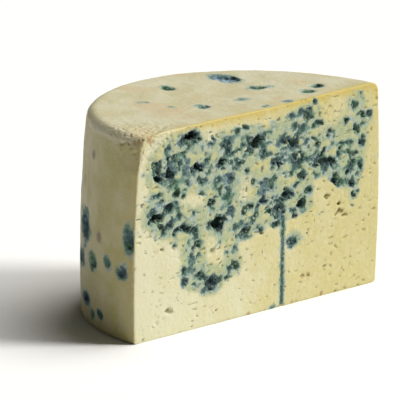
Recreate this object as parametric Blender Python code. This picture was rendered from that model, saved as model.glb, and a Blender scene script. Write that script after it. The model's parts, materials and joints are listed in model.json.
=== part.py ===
"""Half wheel of blue cheese: cut side towards -Y, standing on its flat base, top rind up.

The wheel is rindless and barrel-shaped, with a rounded top rim. It was cut once, straight
through its axis, so its outline seen from above is a half disc. The cut opens the hollows in
which the blue mould grows, and one straight channel that a piercing needle left. The same mould
has eaten shallow pits in the top and in the side.

Units are metres. The origin lies under the middle of the half disc's bounding box, on the base.
"""

import math
import random

import bmesh
import bpy
from mathutils import Matrix, Vector, noise

MM = 0.001

# Driving sizes of the wheel.
WHEEL_RADIUS = 90 * MM
WHEEL_HEIGHT = 106 * MM
CUT_Y = -WHEEL_RADIUS / 2

# The side is a barrel: widest at the belly, drawn in a little at the base and more at the top.
BELLY_HEIGHT = 0.42 * WHEEL_HEIGHT
TOP_LEAN = 2.6 * MM
BASE_LEAN = 1.0 * MM
TOP_RIM_ROUND = 4.5 * MM
BASE_RIM_ROUND = 1.5 * MM

# A soft cheese is never quite true: its side sways and its top is dished.
SIDE_SWAY = 0.6 * MM
SIDE_SWELLS = 4
TOP_DISH = 0.5 * MM
DISH_RIPPLE = 0.3
RIPPLE_WAVES = 5
RIPPLE_START = 1

# One corner of the cut, at the left end of the top edge, is worn away.
WORN_CORNER = Vector((-WHEEL_RADIUS, CUT_Y, WHEEL_HEIGHT))
WEAR_REACH = 19 * MM
WEAR_DEPTH = 5.0 * MM
WEAR_DIRECTION = Vector((0.75, 0.35, -0.6)).normalized()
WEAR_FALLOFF = 1.5

# How finely the solid is faceted.
ARC_STEPS = 36
CUT_STEPS = 18
SIDE_STEPS = 7
TOP_RIM_STEPS = 4
BASE_RIM_STEPS = 2
TOP_RINGS = 3
TOP_FOCUS = Vector((0.0, CUT_Y + 0.42 * WHEEL_RADIUS))

# Large hollows of the cut: x, height, width, tallness, depth in mm, tilt in degrees.
LARGE_HOLLOWS = [
    (-50, 100, 12, 5, 6, 8),
    (-73, 82, 9, 4, 5, -8),
    (-65, 83, 6, 9, 6, 12),
    (-45, 83, 10, 4, 4, -14),
    (-28, 83, 9, 4, 5, 6),
    (-3, 89, 13, 6, 5, 14),
    (24, 84, 9, 5, 4, 10),
    (-75, 62, 12, 5, 6, 8),
    (-66, 66, 7, 5, 4, 30),
    (-65, 57, 6, 4, 3, 0),
    (-54, 54, 8, 4, 4, -12),
    (-29, 52, 11, 7, 7, 6),
    (5, 65, 12, 6, 2, 16),
    (15, 51, 10, 7, 3, 4),
    (21, 58, 9, 4, 4, -8),
    (32, 51, 6, 6, 4, 0),
    (31, 66, 6, 5, 3, 0),
    (50, 70, 17, 5, 4, -9),
    (57, 60, 7, 5, 4, 0),
    (-10, 44, 11, 3, 3, 5),
    (-42, 27, 8, 5, 3, -10),
    (-34, 22, 9, 8, 4, 20),
    (35, 96, 8, 5, 3, -15),
]

# Hollows from this size up get rounder walls than the others.
LARGE_FROM = 10 * MM
LARGE_FACETS = 3
SMALL_FACETS = 2

# Small hollows are scattered by rule through the zone where the curd was loosely packed.
SMALL_HOLLOWS = 28
SMALL_WIDTHS = (2.6 * MM, 5.0 * MM)
SMALL_SQUASH = (0.55, 0.85)
SMALL_DEPTHS = (1.6 * MM, 3.2 * MM)
SMALL_TILTS = (-35, 35)
LOOSE_ZONE_X = (-80 * MM, 80 * MM)
LOOSE_ZONE_Z = (42 * MM, 98 * MM)
HOLLOW_GAP = 1.5 * MM
SCATTER_TRIES = 4000

# The needle's channel runs up from the base in the plane of the cut.
CHANNEL_X = 18 * MM
CHANNEL_TOP = 47 * MM
CHANNEL_RADIUS = 1.0 * MM
CHANNEL_TAPER = 0.8
CHANNEL_SET_BACK = 0.2 * CHANNEL_RADIUS
CHANNEL_SIDES = 8
CHANNEL_OVERRUN = 2 * MM

# Pits of the top: x, distance behind the cut, width, length, depth in mm, tilt in degrees.
TOP_PITS = [
    (-2, 63, 8, 7, 2.0, 20),
    (35, 57, 12, 14, 2.5, -15),
    (33, 34, 9, 8, 1.6, 10),
    (-17, 24, 8, 7, 1.8, 25),
    (46, 11, 8, 6, 1.8, -10),
    (58, 16, 8, 7, 2.0, 15),
]

# Pits of the left side: distance along the rind from the cut, height, width, tallness, depth.
LEFT_PITS = [
    (4, 53, 6, 10, 2.2),
    (9, 36, 7, 7, 1.8),
    (21, 38, 5, 6, 1.6),
    (36, 34, 7, 6, 1.8),
    (49, 50, 12, 13, 2.6),
    (60, 30, 8, 6, 1.6),
    (50, 13, 11, 6, 1.8),
    (29, 9, 5, 4, 1.4),
    (39, 7, 5, 4, 1.4),
]

# The rest of the side carries pits scattered by rule, mostly in a band round its middle.
FAR_PITS = 12
FAR_PIT_START = 74 * MM
FAR_PIT_BAND = (48 * MM, 15 * MM)
FAR_PIT_SIZES = (5 * MM, 10 * MM)
FAR_PIT_SQUASH = (0.7, 1.2)
FAR_PIT_DEPTH = 1.8 * MM
FAR_PIT_GAP = 6 * MM
RIM_CLEARANCE = 12 * MM

# Hollows are lumpy, not round.
LUMP_SIZE = 0.34
LUMP_FREQUENCY = 1.7
LUMP_STEP = 7.3

SEED = 7


def blend(start, end, share):
    """Value that lies share of the way from start to end."""
    return start + (end - start) * share


def side_radius(height):
    """Radius of the barrel's side, before its rims are rounded."""
    if height > BELLY_HEIGHT:
        share = (height - BELLY_HEIGHT) / (WHEEL_HEIGHT - BELLY_HEIGHT)
        return WHEEL_RADIUS - TOP_LEAN * share**2
    share = (BELLY_HEIGHT - height) / BELLY_HEIGHT
    return WHEEL_RADIUS - BASE_LEAN * share**2


def profile():
    """Radius and height of each level of the rind, from the base up to the top."""
    levels = []
    for step in range(BASE_RIM_STEPS + 1):
        turn = math.radians(90) * step / BASE_RIM_STEPS
        inset = BASE_RIM_ROUND * (1 - math.sin(turn))
        height = BASE_RIM_ROUND * (1 - math.cos(turn))
        levels.append((side_radius(height) - inset, height))
    low = BASE_RIM_ROUND
    high = WHEEL_HEIGHT - TOP_RIM_ROUND
    for step in range(1, SIDE_STEPS):
        height = blend(low, high, step / SIDE_STEPS)
        levels.append((side_radius(height), height))
    for step in range(TOP_RIM_STEPS + 1):
        turn = math.radians(90) * step / TOP_RIM_STEPS
        inset = TOP_RIM_ROUND * (1 - math.cos(turn))
        height = high + TOP_RIM_ROUND * math.sin(turn)
        levels.append((side_radius(height) - inset, height))
    return levels


def half_disc(radius, height):
    """Points round a half disc: along the cut from left to right, then back round the rind."""
    points = []
    for step in range(CUT_STEPS):
        across = blend(-radius, radius, step / CUT_STEPS)
        points.append(Vector((across, CUT_Y, height)))
    for step in range(ARC_STEPS):
        turn = math.pi * step / ARC_STEPS
        across = radius * math.cos(turn)
        behind = radius * math.sin(turn)
        points.append(Vector((across, CUT_Y + behind, height)))
    return points


def sway(point):
    """Slow swelling of the rind, which leaves its ends and its rearmost line where they are."""
    behind = point.y - CUT_Y
    reach = math.hypot(point.x, behind)
    if reach < WHEEL_RADIUS / 2 or behind <= 0:
        return point
    turn = math.atan2(behind, point.x)
    rise = point.z / WHEEL_HEIGHT
    swell = math.sin(SIDE_SWELLS * turn) * math.sin(math.pi * rise + turn)
    ratio = 1 + SIDE_SWAY * swell / reach
    return Vector((point.x * ratio, CUT_Y + behind * ratio, point.z))


def dish(point):
    """Slow hollowing of the top, which leaves the rim and the base where they are."""
    reach = math.hypot(point.x, point.y - CUT_Y) / WHEEL_RADIUS
    ripple = 1 + DISH_RIPPLE * math.sin(RIPPLE_WAVES * point.x / WHEEL_RADIUS + RIPPLE_START)
    drop = TOP_DISH * max(0.0, 1 - reach**2) * ripple
    return Vector((point.x, point.y, point.z * (1 - drop / WHEEL_HEIGHT)))


def wear(point):
    """Rounds off the worn corner by drawing what lies near it inwards."""
    nearness = 1 - (point - WORN_CORNER).length / WEAR_REACH
    if nearness <= 0:
        return point
    return point + WEAR_DIRECTION * WEAR_DEPTH * nearness**WEAR_FALLOFF


def bridge(bm, lower, upper):
    """Joins two closed loops of equal length with a band of quads."""
    count = len(lower)
    for here in range(count):
        after = (here + 1) % count
        bm.faces.new((lower[here], lower[after], upper[after], upper[here]))


def half_wheel_mesh():
    """The half wheel before anything is cut out of it."""
    bm = bmesh.new()
    loops = []
    for radius, height in profile():
        loops.append([bm.verts.new(point) for point in half_disc(radius, height)])
    for lower, upper in zip(loops, loops[1:]):
        bridge(bm, lower, upper)
    bm.faces.new(list(reversed(loops[0])))
    rim = loops[-1]
    outer = rim
    for ring in range(1, TOP_RINGS):
        share = ring / TOP_RINGS
        inner = []
        for vertex in rim:
            across = blend(vertex.co.x, TOP_FOCUS.x, share)
            behind = blend(vertex.co.y, TOP_FOCUS.y, share)
            inner.append(bm.verts.new((across, behind, WHEEL_HEIGHT)))
        bridge(bm, outer, inner)
        outer = inner
    centre = bm.verts.new((TOP_FOCUS.x, TOP_FOCUS.y, WHEEL_HEIGHT))
    for here, vertex in enumerate(outer):
        bm.faces.new((vertex, outer[(here + 1) % len(outer)], centre))
    for vertex in bm.verts:
        vertex.co = wear(dish(sway(vertex.co)))
    bmesh.ops.recalc_face_normals(bm, faces=bm.faces)
    mesh = bpy.data.meshes.new("cheese_half_wheel")
    bm.to_mesh(mesh)
    bm.free()
    return mesh


def paste_material():
    """Pale cream paste, matt and a little moist."""
    material = bpy.data.materials.new("cream_paste")
    material.use_nodes = True
    shader = material.node_tree.nodes["Principled BSDF"]
    shader.inputs["Base Color"].default_value = (0.70, 0.66, 0.40, 1.0)
    shader.inputs["Roughness"].default_value = 0.55
    shader.inputs["Metallic"].default_value = 0.0
    return material


def lump(direction, offset):
    """Length of a hollow's radius in one direction, as a share of its mean radius."""
    place = direction * LUMP_FREQUENCY + Vector((offset * LUMP_STEP, 0.0, 0.0))
    return 1 + LUMP_SIZE * noise.noise(place)


def add_hollow(cutters, name, place, size, tilt, facing):
    """One lumpy cutter: width and tallness across the surface, and depth on either side of it."""
    width, tallness, depth = size
    facets = LARGE_FACETS if max(width, tallness) >= LARGE_FROM else SMALL_FACETS
    bm = bmesh.new()
    bmesh.ops.create_icosphere(bm, subdivisions=facets, radius=1.0)
    offset = len(cutters.objects)
    for vertex in bm.verts:
        direction = vertex.co.normalized()
        vertex.co = direction * lump(direction, offset)
    bmesh.ops.scale(bm, vec=(width / 2, tallness / 2, depth), verts=bm.verts)
    bmesh.ops.rotate(bm, matrix=Matrix.Rotation(tilt, 3, "Z"), verts=bm.verts)
    mesh = bpy.data.meshes.new(name)
    bm.to_mesh(mesh)
    bm.free()
    cutter = bpy.data.objects.new(name, mesh)
    cutter.location = place
    cutter.rotation_euler = facing.to_track_quat("Z", "Y").to_euler()
    cutter.hide_render = True
    cutter.display_type = "WIRE"
    cutters.objects.link(cutter)


def add_large_hollows(cutters):
    """The hollows that give this cut its own look."""
    facing = Vector((0, -1, 0))
    for number, row in enumerate(LARGE_HOLLOWS):
        across, height, width, tallness, depth, tilt = row
        place = Vector((across * MM, CUT_Y, height * MM))
        size = (width * MM, tallness * MM, depth * MM)
        name = f"large_hollow_{number}"
        add_hollow(cutters, name, place, size, math.radians(tilt), facing)


def add_small_hollows(cutters, chance):
    """Small hollows between the large ones, none of them touching another."""
    facing = Vector((0, -1, 0))
    taken = [(row[0] * MM, row[1] * MM, max(row[2], row[3]) * MM / 2) for row in LARGE_HOLLOWS]
    made = 0
    for _ in range(SCATTER_TRIES):
        if made == SMALL_HOLLOWS:
            return
        across = chance.uniform(*LOOSE_ZONE_X)
        height = chance.uniform(*LOOSE_ZONE_Z)
        width = chance.uniform(*SMALL_WIDTHS)
        room = width / 2 + HOLLOW_GAP
        if any(math.hypot(across - x, height - z) < room + r for x, z, r in taken):
            continue
        taken.append((across, height, width / 2))
        size = (width, width * chance.uniform(*SMALL_SQUASH), chance.uniform(*SMALL_DEPTHS))
        place = Vector((across, CUT_Y, height))
        tilt = math.radians(chance.uniform(*SMALL_TILTS))
        add_hollow(cutters, f"small_hollow_{made}", place, size, tilt, facing)
        made += 1


def add_channel(cutters):
    """The needle's channel, of which the cut leaves one half."""
    length = CHANNEL_TOP + CHANNEL_OVERRUN
    bm = bmesh.new()
    bmesh.ops.create_cone(
        bm,
        cap_ends=True,
        segments=CHANNEL_SIDES,
        radius1=CHANNEL_RADIUS,
        radius2=CHANNEL_RADIUS * CHANNEL_TAPER,
        depth=length,
    )
    mesh = bpy.data.meshes.new("needle_channel")
    bm.to_mesh(mesh)
    bm.free()
    cutter = bpy.data.objects.new("needle_channel", mesh)
    cutter.location = (CHANNEL_X, CUT_Y + CHANNEL_SET_BACK, CHANNEL_TOP - length / 2)
    cutter.hide_render = True
    cutter.display_type = "WIRE"
    cutters.objects.link(cutter)


def add_top_pits(cutters):
    """Pits that the mould has eaten in the top rind."""
    for number, (across, behind, width, length, depth, tilt) in enumerate(TOP_PITS):
        place = dish(Vector((across * MM, CUT_Y + behind * MM, WHEEL_HEIGHT)))
        size = (width * MM, length * MM, depth * MM)
        name = f"top_pit_{number}"
        add_hollow(cutters, name, place, size, math.radians(tilt), Vector((0, 0, 1)))


def add_side_pit(cutters, name, along, height, size):
    """One pit of the side, at a distance along the rind from its left end."""
    turn = math.pi - along / WHEEL_RADIUS
    outwards = Vector((math.cos(turn), math.sin(turn), 0.0))
    place = outwards * side_radius(height) + Vector((0.0, CUT_Y, height))
    add_hollow(cutters, name, sway(place), size, 0.0, outwards)


def add_side_pits(cutters, chance):
    """Pits of the left side by hand, and of the rest of the side by rule."""
    for number, (along, height, width, tallness, depth) in enumerate(LEFT_PITS):
        size = (width * MM, tallness * MM, depth * MM)
        add_side_pit(cutters, f"left_pit_{number}", along * MM, height * MM, size)
    end = math.pi * WHEEL_RADIUS - RIM_CLEARANCE
    taken = []
    for _ in range(SCATTER_TRIES):
        if len(taken) == FAR_PITS:
            return
        along = chance.uniform(FAR_PIT_START, end)
        height = chance.gauss(*FAR_PIT_BAND)
        width = chance.uniform(*FAR_PIT_SIZES)
        tallness = width * chance.uniform(*FAR_PIT_SQUASH)
        if not RIM_CLEARANCE < height < WHEEL_HEIGHT - RIM_CLEARANCE:
            continue
        room = width / 2 + FAR_PIT_GAP
        if any(math.hypot(along - s, height - z) < room + r for s, z, r in taken):
            continue
        size = (width, tallness, FAR_PIT_DEPTH)
        add_side_pit(cutters, f"far_pit_{len(taken)}", along, height, size)
        taken.append((along, height, width / 2))


def main():
    """Builds the half wheel and cuts its hollows, channel and pits."""
    for thing in list(bpy.data.objects):
        bpy.data.objects.remove(thing, do_unlink=True)
    chance = random.Random(SEED)
    cutters = bpy.data.collections.new("cutters")
    bpy.context.scene.collection.children.link(cutters)
    add_large_hollows(cutters)
    add_small_hollows(cutters, chance)
    add_channel(cutters)
    add_top_pits(cutters)
    add_side_pits(cutters, chance)
    mesh = half_wheel_mesh()
    mesh.materials.append(paste_material())
    cheese = bpy.data.objects.new("cheese_half_wheel", mesh)
    bpy.context.scene.collection.objects.link(cheese)
    opening = cheese.modifiers.new("hollows_and_pits", "BOOLEAN")
    opening.operand_type = "COLLECTION"
    opening.collection = cutters
    opening.operation = "DIFFERENCE"
    opening.solver = "EXACT"


main()
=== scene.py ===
# %% [markdown]
# # Half a wheel of blue cheese
#
# The object is half of a rindless blue cheese wheel, cut once with a wire and stood on its base.
# Three things make it look real: the soft barrel shape, the open hollows of the loosely packed
# curd, and the mould that lines those hollows and stains the paste round them. The lesson makes
# them in that order, then lights the piece in a pale studio.
#
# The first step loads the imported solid. It is the fixed frame that everything here is placed by.

# %% Load the frame
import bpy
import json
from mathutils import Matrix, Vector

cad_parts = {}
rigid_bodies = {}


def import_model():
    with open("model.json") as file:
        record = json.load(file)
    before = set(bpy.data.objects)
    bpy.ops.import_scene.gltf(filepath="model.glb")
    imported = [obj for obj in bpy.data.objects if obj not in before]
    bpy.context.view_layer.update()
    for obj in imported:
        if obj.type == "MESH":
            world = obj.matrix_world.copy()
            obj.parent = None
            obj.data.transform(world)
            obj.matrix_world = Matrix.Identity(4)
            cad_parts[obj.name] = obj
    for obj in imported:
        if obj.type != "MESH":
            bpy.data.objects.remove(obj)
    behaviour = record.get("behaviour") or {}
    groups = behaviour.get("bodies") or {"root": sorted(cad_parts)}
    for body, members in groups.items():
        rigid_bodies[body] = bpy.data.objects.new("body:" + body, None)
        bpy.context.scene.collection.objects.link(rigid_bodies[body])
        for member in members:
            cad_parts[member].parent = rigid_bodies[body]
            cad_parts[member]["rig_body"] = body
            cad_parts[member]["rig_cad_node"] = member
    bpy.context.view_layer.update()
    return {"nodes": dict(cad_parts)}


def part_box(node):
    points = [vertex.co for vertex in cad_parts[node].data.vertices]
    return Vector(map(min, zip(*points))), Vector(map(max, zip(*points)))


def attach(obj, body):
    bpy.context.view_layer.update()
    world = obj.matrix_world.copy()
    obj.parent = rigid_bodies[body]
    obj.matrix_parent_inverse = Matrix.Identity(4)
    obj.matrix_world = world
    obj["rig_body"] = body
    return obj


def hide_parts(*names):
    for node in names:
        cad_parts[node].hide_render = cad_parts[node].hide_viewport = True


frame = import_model()

# %% [markdown]
# Every size below is worked out from the solid: the cut lies in one plane, the wheel's axis lies
# in that plane too, and the wheel's radius is half of the solid's length.

# %% Read the driving sizes
import json
import math
import random

import bpy
import numpy as np
from mathutils import Quaternion, Vector, kdtree, noise
from mathutils.bvhtree import BVHTree

MM = 0.001
NODE = "cheese_half_wheel"
low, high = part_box(NODE)
CUT_Y = low.y
RADIUS = (high.x - low.x) / 2
HEIGHT = high.z
print(f"radius {RADIUS / MM:.1f} mm, height {HEIGHT / MM:.1f} mm, cut at y {CUT_Y / MM:.1f} mm")

# %% [markdown]
# Blender's operators act on whatever is selected, and the frame comes in selected. So a small
# helper deselects everything first and picks one piece, and another applies a modifier, which
# turns what it shows into plain mesh.

# %% Helpers for picking a piece and applying a modifier
def pick(*pieces):
    """Selects these pieces alone and makes the first one active."""
    bpy.ops.object.select_all(action="DESELECT")
    for piece in pieces:
        piece.select_set(True)
    bpy.context.view_layer.objects.active = pieces[0]


def apply(piece, modifier):
    """Turns what a modifier shows into the piece's own mesh."""
    pick(piece)
    bpy.ops.object.modifier_apply(modifier=modifier.name)


def triangles(piece):
    """How many triangles a piece has."""
    return sum(len(face.vertices) - 2 for face in piece.data.polygons)


# %% [markdown]
# ## The body of the cheese
#
# The paste could be modelled from a cylinder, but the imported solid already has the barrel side,
# the rounded rim, the worn corner and the large hollows at their real size. So the body starts as
# a copy of it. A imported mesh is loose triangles: merging by distance sews them into one skin.

# %% Copy the solid and sew its skin
SEW = 0.01 * MM
pick(frame["nodes"][NODE])
bpy.ops.object.duplicate()
body = bpy.context.view_layer.objects.active
body.name = "cheese_body"
body.parent = None
del body["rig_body"]
del body["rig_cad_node"]
pick(body)
bpy.ops.object.mode_set(mode="EDIT")
bpy.ops.mesh.select_all(action="SELECT")
bpy.ops.mesh.remove_doubles(threshold=SEW)
bpy.ops.mesh.normals_make_consistent(inside=False)
bpy.ops.object.mode_set(mode="OBJECT")
print("body copied:", triangles(body), "triangles")

# %% [markdown]
# A wheel like this has dozens of lesser openings too. Each is an ico sphere, pressed flat along
# the cut and roughened with random vertex moves, as a torn curd hole is never smooth. They are
# joined into one cutter and taken out of the body with one Boolean. Those in the plain paste low
# down are only little tears, those above are where mould will grow.

# %% Cut the lesser openings
# Across, height, width, tallness, depth in mm, and tilt in degrees.
OPENINGS = [
    (-60, 73, 4, 4, 3, 0),
    (-58, 88, 5, 2.5, 2.5, 10),
    (-63, 91, 5, 2.5, 2, -20),
    (-76, 89, 4, 2.5, 2, 0),
    (-53, 77, 4, 2.5, 1.6, 25),
    (-40, 76, 3, 2, 1.6, 0),
    (-35, 96, 5, 2.6, 1.6, 15),
    (-17, 97, 3, 4, 2, 0),
    (-11, 98, 6, 3, 2, 0),
    (-27, 92, 6, 3, 2, -10),
    (-10, 76, 5, 2.4, 2, 0),
    (-13, 81, 4, 2, 1.8, 10),
    (2, 80, 4, 2, 1.6, 0),
    (11, 77, 8, 3, 2.4, -6),
    (15, 75, 5, 3, 2.4, 40),
    (26, 77, 6, 4, 3, 20),
    (28, 62, 3, 3, 2.4, 0),
    (40, 103, 3, 4, 1.6, -30),
    (43, 80, 4, 2.4, 2, -20),
    (42, 92, 6, 2.6, 2, 5),
    (52, 86, 5, 2.4, 2.2, 0),
    (71, 83, 5, 3, 2.4, 15),
    (76, 76, 6, 3.4, 3, 5),
    (81, 90, 4, 4, 2.4, 0),
    (71, 84, 3, 4.5, 2.6, -15),
    (64, 40, 4, 2.4, 2, 10),
    (32, 51, 4, 3, 2.6, 0),
    (68, 70, 4, 3, 2.2, 0),
    (69, 56, 4, 5, 3, 20),
    (70, 50, 3, 4, 2.6, -10),
    (60, 42, 8, 3, 2.4, -24),
    (26, 49, 4, 4, 2, 0),
    (12, 44, 6, 3, 2.4, -16),
    (2, 42, 3, 4, 2.4, 0),
    (-44, 43, 4, 3, 2, 0),
    (-34, 38, 4, 1.8, 1.4, 0),
    (-54, 32, 4, 3, 2, -30),
    (-53, 26, 6, 4, 2.4, 0),
    (-17, 28, 7, 4, 2.6, 12),
    (-23, 22, 6, 3, 1.6, -6),
    (25, 33, 8, 4, 2, 0),
    (-8, 56, 8, 3, 2.4, -12),
    (-65, 13, 5, 2.6, 2, 20),
    (-73, 9, 3, 1.6, 1, 0),
    (-77, 24, 2.6, 1.6, 1, 0),
    (33, 13, 3, 2.6, 1.4, -30),
    (37, 12.6, 3.4, 2, 1.2, 0),
    (50, 15, 3, 2, 1.2, 0),
    (-4, 18, 3, 1.4, 1, 0),
    (58, 24, 3, 2, 1.2, 30),
]
ROUGHNESS_OF_TEARS = 0.22 * MM


def opening(across, height, width, tallness, depth, tilt, seed):
    """A rough flat ball that reaches into the cut."""
    place = (across * MM, CUT_Y, height * MM)
    bpy.ops.mesh.primitive_ico_sphere_add(subdivisions=3, radius=0.5 * MM, location=place)
    ball = bpy.context.view_layer.objects.active
    ball.scale = (width, 2 * depth, tallness)
    ball.rotation_euler = (0, math.radians(tilt), 0)
    bpy.ops.object.transform_apply(location=False, rotation=True, scale=True)
    bpy.ops.object.mode_set(mode="EDIT")
    bpy.ops.transform.vertex_random(offset=ROUGHNESS_OF_TEARS, normal=0.6, seed=seed)
    bpy.ops.object.mode_set(mode="OBJECT")
    return ball


bpy.ops.object.select_all(action="DESELECT")
balls = [opening(*row, seed) for seed, row in enumerate(OPENINGS)]
pick(*balls)
bpy.ops.object.join()
cutter = bpy.context.view_layer.objects.active
cut = body.modifiers.new("openings", "BOOLEAN")
cut.object = cutter
cut.operation = "DIFFERENCE"
cut.solver = "EXACT"
cut.use_self = True
apply(body, cut)
bpy.data.objects.remove(cutter)
print(len(balls), "openings cut; body has", triangles(body), "triangles")

# %% [markdown]
# The next steps move single points, so the body needs an even skin of small faces. A voxel remesh
# gives one, whatever the faces were before. Half a millimetre is fine enough for crumbs of curd.

# %% Give the body an even skin
SKIN_GRAIN = 0.46 * MM
remesh = body.modifiers.new("even_skin", "REMESH")
remesh.mode = "VOXEL"
remesh.voxel_size = SKIN_GRAIN
apply(body, remesh)
print("body remeshed:", triangles(body), "triangles")

# %% [markdown]
# The top left corner of the cut has been handled, and its edges are worn soft. A Smooth modifier
# does that, held to this one place by a vertex group. A point's weight in the group fades with
# its distance from the corner, so no border shows.

# %% Round off the worn corner
WORN_CORNER = Vector((-84 * MM, CUT_Y + 2 * MM, HEIGHT - 2 * MM))
WORN_REACH = 40 * MM
ROUNDING_STEPS = 30
worn = body.vertex_groups.new(name="worn_corner")
for point in body.data.vertices:
    closeness = 1 - (point.co - WORN_CORNER).length / WORN_REACH
    if closeness > 0:
        worn.add([point.index], min(1.0, 2 * closeness), "REPLACE")
rounding = body.modifiers.new("rounding", "SMOOTH")
rounding.vertex_group = worn.name
rounding.factor = 0.5
rounding.iterations = ROUNDING_STEPS
apply(body, rounding)
body.vertex_groups.clear()
print("worn corner rounded")

# %% [markdown]
# ## Where the curd was loose
#
# Mould grows where air gets in. On this cut the loose curd lies in a broad band across the upper
# half, with a tongue running down on the left. Soft patches, each a place, a size and a strength,
# add up to a map of that looseness, and everything below reads it: the crevices, the stains and
# the tufts. One map keeps shape and colour together.

# %% Map the loose curd
# Across, height, half width, half height in mm, and strength.
LOOSE_PATCHES = [
    (-66, 86, 16, 14, 1.0),
    (-72, 64, 13, 9, 1.0),
    (-56, 56, 16, 8, 1.0),
    (-54, 96, 13, 8, 0.9),
    (-46, 80, 14, 9, 1.0),
    (-27, 70, 12, 24, 1.0),
    (-24, 90, 9, 8, 0.7),
    (-6, 88, 17, 9, 0.95),
    (24, 86, 19, 13, 1.0),
    (32, 76, 16, 8, 0.95),
    (35, 97, 9, 7, 0.8),
    (4, 64, 11, 7, 0.9),
    (55, 70, 20, 8, 0.95),
    (66, 62, 10, 9, 0.75),
    (76, 86, 9, 15, 0.4),
    (70, 98, 9, 7, 0.4),
    (-12, 52, 20, 7, 0.85),
    (13, 53, 13, 9, 0.95),
    (32, 60, 8, 9, 0.6),
    (-48, 42, 9, 10, 0.95),
    (-46, 28, 10, 8, 0.85),
    (-34, 23, 9, 7, 1.0),
    (-20, 36, 6, 10, 0.5),
    (-10, 45, 11, 5, 0.8),
    (26, 34, 7, 5, 0.6),
    (70, 52, 6, 7, 0.35),
    (33, 51, 7, 6, 0.6),
    (-17, 28, 7, 5, 0.6),
    (-4, 76, 10, 7, 0.4),
    (20, 68, 10, 6, 0.35),
    (60, 84, 12, 9, 0.5),
]
# Spots inside the band where the paste stayed whole, in the same terms.
PLAIN_SPOTS = [
    (-45, 66, 8, 5, 0.6),
    (-36, 97, 6, 5, 0.4),
    (-5, 76, 7, 4, 0.4),
    (60, 86, 9, 7, 0.3),
    (-36, 43, 5, 7, 0.5),
]


def spot(points, x, z, half_width, half_height):
    """1 in the middle of a soft spot on the cut, fading to 0 past its half width and height."""
    across = (points[:, 0] / MM - x) / half_width
    height = (points[:, 2] / MM - z) / half_height
    return np.exp(-((across**2 + height**2) ** 1.3))


def band_at(points, spread=1.0):
    """1 in the band of loose curd and 0 in the plain paste, with a soft edge."""
    outside = np.ones(len(points))
    for x, z, half_width, half_height, strength in LOOSE_PATCHES:
        outside *= 1 - 0.85 * strength * spot(points, x, z, spread * half_width, spread * half_height)
    return 1 - outside


def looseness(points):
    """How loose the curd is at each point of the cut, from 0 to about 1."""
    loose = band_at(points)
    for *place, strength in PLAIN_SPOTS:
        loose *= 1 - strength * spot(points, *place)
    return loose


print(len(LOOSE_PATCHES), "loose patches and", len(PLAIN_SPOTS), "plain spots mapped")

# %% [markdown]
# Two more helpers serve all that follows. Noise is where every irregular shape comes from, and a
# step with soft shoulders turns a number into a mask.

# %% Noise and a soft step
def noise_at(points, size, shift=0.0):
    """Smooth noise from -1 to 1 at each point, in waves about as long as size."""
    return np.array([noise.noise(place) for place in (points / size + shift).tolist()])


def smooth_step(value, start, end):
    """0 below start, 1 above end, and an easy curve between them."""
    share = np.clip((value - start) / (end - start), 0, 1)
    return share * share * (3 - 2 * share)


# %% [markdown]
# Loose curd is a pile of rounded grains, and the crevices are what is left between them. Two
# patterns are added up for that. Cloudy noise in three sizes says where the grains left room, and
# Voronoi noise, whose distance to the nearest grain's centre is greatest where grains meet, gives
# the room its corners. Where the sum passes a limit a crevice opens, and the looser the curd, the
# lower the limit. Warping the pattern hides that it is noise, and stretching it sideways shows
# that the curd settled under its own weight.

# %% The crevices between the grains
GRAIN = 3.4 * MM
GRAIN_EDGE = 0.52
CLUMP = 4.2 * MM
SETTLED = 1.55
WARP = 1.2 * MM
WARP_WAVE = 3 * MM
TIGHT_LIMIT = 1.2
LOOSE_SHARE = 1.42


def on_cut_plane(points):
    """The points' places on the cut, moved to one plane, warped and pressed flat a little."""
    place = points.copy()
    place[:, 1] = 0.0
    across = noise_at(place, WARP_WAVE, 11.0)
    height = noise_at(place, WARP_WAVE, 23.0)
    place[:, 0] += WARP * across
    place[:, 2] += WARP * height
    place[:, 0] /= SETTLED
    return place


def clumping(place):
    """Blotchy noise with finer blotches on its edges, from about -1 to 1."""
    clumps = noise_at(place, CLUMP, 41.0)
    clumps += 0.45 * noise_at(place, 0.48 * CLUMP, 43.0)
    return clumps + 0.25 * noise_at(place, 0.24 * CLUMP, 47.0)


def crevice(place, clumps, loose):
    """Above 0 where a crevice is open, and just under 0 on its lips."""
    grains = (place / GRAIN).tolist()
    between = np.array([noise.voronoi(where)[0][0] for where in grains]) - GRAIN_EDGE
    limit = TIGHT_LIMIT - LOOSE_SHARE * np.clip(loose, 0, 1) ** 0.6
    return 0.8 * clumps + 1.1 * between - limit


# %% [markdown]
# The wire that cut the cheese dragged a little. It tore short dashes out of the plain paste, more
# of them to the right, and opened small pits in the band and round it. Both are flat noise that
# is cut off at a limit, so that only its peaks are left.

# %% The tears and pits of the cut
TEAR = 1.6 * MM
TEAR_STRETCH = 2.2
MORE_TO_THE_RIGHT = 0.06
PIT = 1.8 * MM
PIT_STRETCH = 2.1
PIT_LIMIT = 0.64
FRINGE = 1.2


def tears(points):
    """1 in the small dashes that the wire tore in the plain paste, 0 elsewhere."""
    place = points.copy()
    place[:, 1] = 0.0
    place[:, 0] /= TEAR_STRETCH
    rough = noise_at(place, TEAR, 31.0) + 0.25 * noise_at(points, 20 * MM, 37.0)
    rough += MORE_TO_THE_RIGHT * smooth_step(points[:, 0], 0.0, 40 * MM)
    return smooth_step(rough, 0.5, 0.62)


def pits(points):
    """1 in the little pits in and round the band of loose curd, 0 elsewhere."""
    place = points.copy()
    place[:, 1] = 0.0
    place[:, 0] /= PIT_STRETCH
    rough = noise_at(place, PIT, 83.0)
    limit = PIT_LIMIT - 0.3 * smooth_step(band_at(points, FRINGE), 0.0, 0.5)
    return smooth_step(rough - limit, 0.0, 0.12)


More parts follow.
